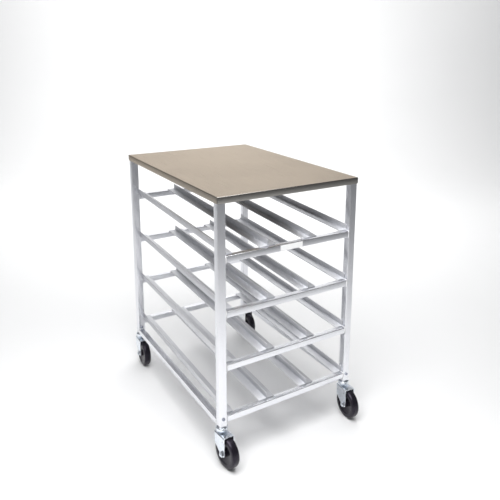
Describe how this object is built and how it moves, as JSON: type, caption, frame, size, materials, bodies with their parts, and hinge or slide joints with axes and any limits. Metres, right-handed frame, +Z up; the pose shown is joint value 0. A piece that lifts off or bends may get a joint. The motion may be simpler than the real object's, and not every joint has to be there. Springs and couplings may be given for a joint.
{
  "type": "rolling pantry cart",
  "caption": "Mobile can rack: open square-tube frame with sloping rail lanes under a flat stainless work top, carried on swivel stem casters that turn and roll.",
  "frame": {"origin": "on the floor, below the middle of the whole object with its casters as they stand", "axes": "+Z up, -Y towards the front where the lanes come down, +X to the right as seen from the front"},
  "size_m": [0.6636, 1.0058, 1.0668],
  "materials": {
    "stainless": "brushed along the length",
    "aluminium": "satin mill finish",
    "zinc": "bright zinc plate",
    "bolt_steel": "plain plated",
    "wheel": "moulded, semi-gloss",
    "label": "matt"
  },
  "bodies": {
    "root": {"top_panel": "stainless", "post_front_left": "aluminium", "post_front_right": "aluminium", "post_back_left": "aluminium", "post_back_right": "aluminium", "top_tube_front": "aluminium", "top_tube_back": "aluminium", "top_tube_left": "aluminium", "top_tube_right": "aluminium", "base_tube_left": "aluminium", "base_tube_right": "aluminium", "tier_1_front_bar": "aluminium", "tier_1_back_bar": "aluminium", "tier_1_side_rail_left": "aluminium", "tier_1_middle_rail_left": "aluminium", "tier_1_middle_rail_right": "aluminium", "tier_1_side_rail_right": "aluminium", "tier_2_front_bar": "aluminium", "tier_2_back_bar": "aluminium", "tier_2_side_rail_left": "aluminium", "tier_2_middle_rail_left": "aluminium", "tier_2_middle_rail_right": "aluminium", "tier_2_side_rail_right": "aluminium", "tier_3_front_bar": "aluminium", "tier_3_back_bar": "aluminium", "tier_3_side_rail_left": "aluminium", "tier_3_middle_rail_left": "aluminium", "tier_3_middle_rail_right": "aluminium", "tier_3_side_rail_right": "aluminium", "tier_4_front_bar": "aluminium", "tier_4_back_bar": "aluminium", "tier_4_side_rail_left": "aluminium", "tier_4_middle_rail_left": "aluminium", "tier_4_middle_rail_right": "aluminium", "tier_4_side_rail_right": "aluminium", "label_plate": "label", "caster_front_left_stem": "zinc", "caster_front_left_stem_bolt": "bolt_steel", "caster_front_right_stem": "zinc", "caster_front_right_stem_bolt": "bolt_steel", "caster_back_left_stem": "zinc", "caster_back_left_stem_bolt": "bolt_steel", "caster_back_right_stem": "zinc", "caster_back_right_stem_bolt": "bolt_steel"},
    "front_left_swivel": {"caster_front_left_fork": "zinc", "caster_front_left_axle": "zinc", "caster_front_left_axle_nut": "zinc"},
    "front_left_wheel": {"caster_front_left_wheel": "wheel"},
    "front_right_swivel": {"caster_front_right_fork": "zinc", "caster_front_right_axle": "zinc", "caster_front_right_axle_nut": "zinc"},
    "front_right_wheel": {"caster_front_right_wheel": "wheel"},
    "back_left_swivel": {"caster_back_left_fork": "zinc", "caster_back_left_axle": "zinc", "caster_back_left_axle_nut": "zinc"},
    "back_left_wheel": {"caster_back_left_wheel": "wheel"},
    "back_right_swivel": {"caster_back_right_fork": "zinc", "caster_back_right_axle": "zinc", "caster_back_right_axle_nut": "zinc"},
    "back_right_wheel": {"caster_back_right_wheel": "wheel"}
  },
  "joints": [
    {"name": "front_left_swivel_turn", "type": "hinge", "parent": "root", "child": "front_left_swivel", "pos_m": [-0.29635, -0.40295, 0.14], "axis": [0, 0, 1], "continuous": true},
    {"name": "front_left_wheel_roll", "type": "hinge", "parent": "front_left_swivel", "child": "front_left_wheel", "pos_m": [-0.29196, -0.43868, 0.0635], "axis": [0.9925, 0.1219, 0], "continuous": true},
    {"name": "front_right_swivel_turn", "type": "hinge", "parent": "root", "child": "front_right_swivel", "pos_m": [0.3023, -0.40295, 0.14], "axis": [0, 0, 1], "continuous": true},
    {"name": "front_right_wheel_roll", "type": "hinge", "parent": "front_right_swivel", "child": "front_right_wheel", "pos_m": [0.30042, -0.4389, 0.0635], "axis": [0.9986, -0.0523, 0], "continuous": true},
    {"name": "back_left_swivel_turn", "type": "hinge", "parent": "root", "child": "back_left_swivel", "pos_m": [-0.29635, 0.4751, 0.14], "axis": [0, 0, 1], "continuous": true},
    {"name": "back_left_wheel_roll", "type": "hinge", "parent": "back_left_swivel", "child": "back_left_wheel", "pos_m": [-0.2976, 0.43912, 0.0635], "axis": [0.9994, -0.0349, 0], "continuous": true},
    {"name": "back_right_swivel_turn", "type": "hinge", "parent": "root", "child": "back_right_swivel", "pos_m": [0.3023, 0.4751, 0.14], "axis": [0, 0, 1], "continuous": true},
    {"name": "back_right_wheel_roll", "type": "hinge", "parent": "back_right_swivel", "child": "back_right_wheel", "pos_m": [0.3023, 0.4391, 0.0635], "axis": [1, 0, 0], "continuous": true}
  ]
}
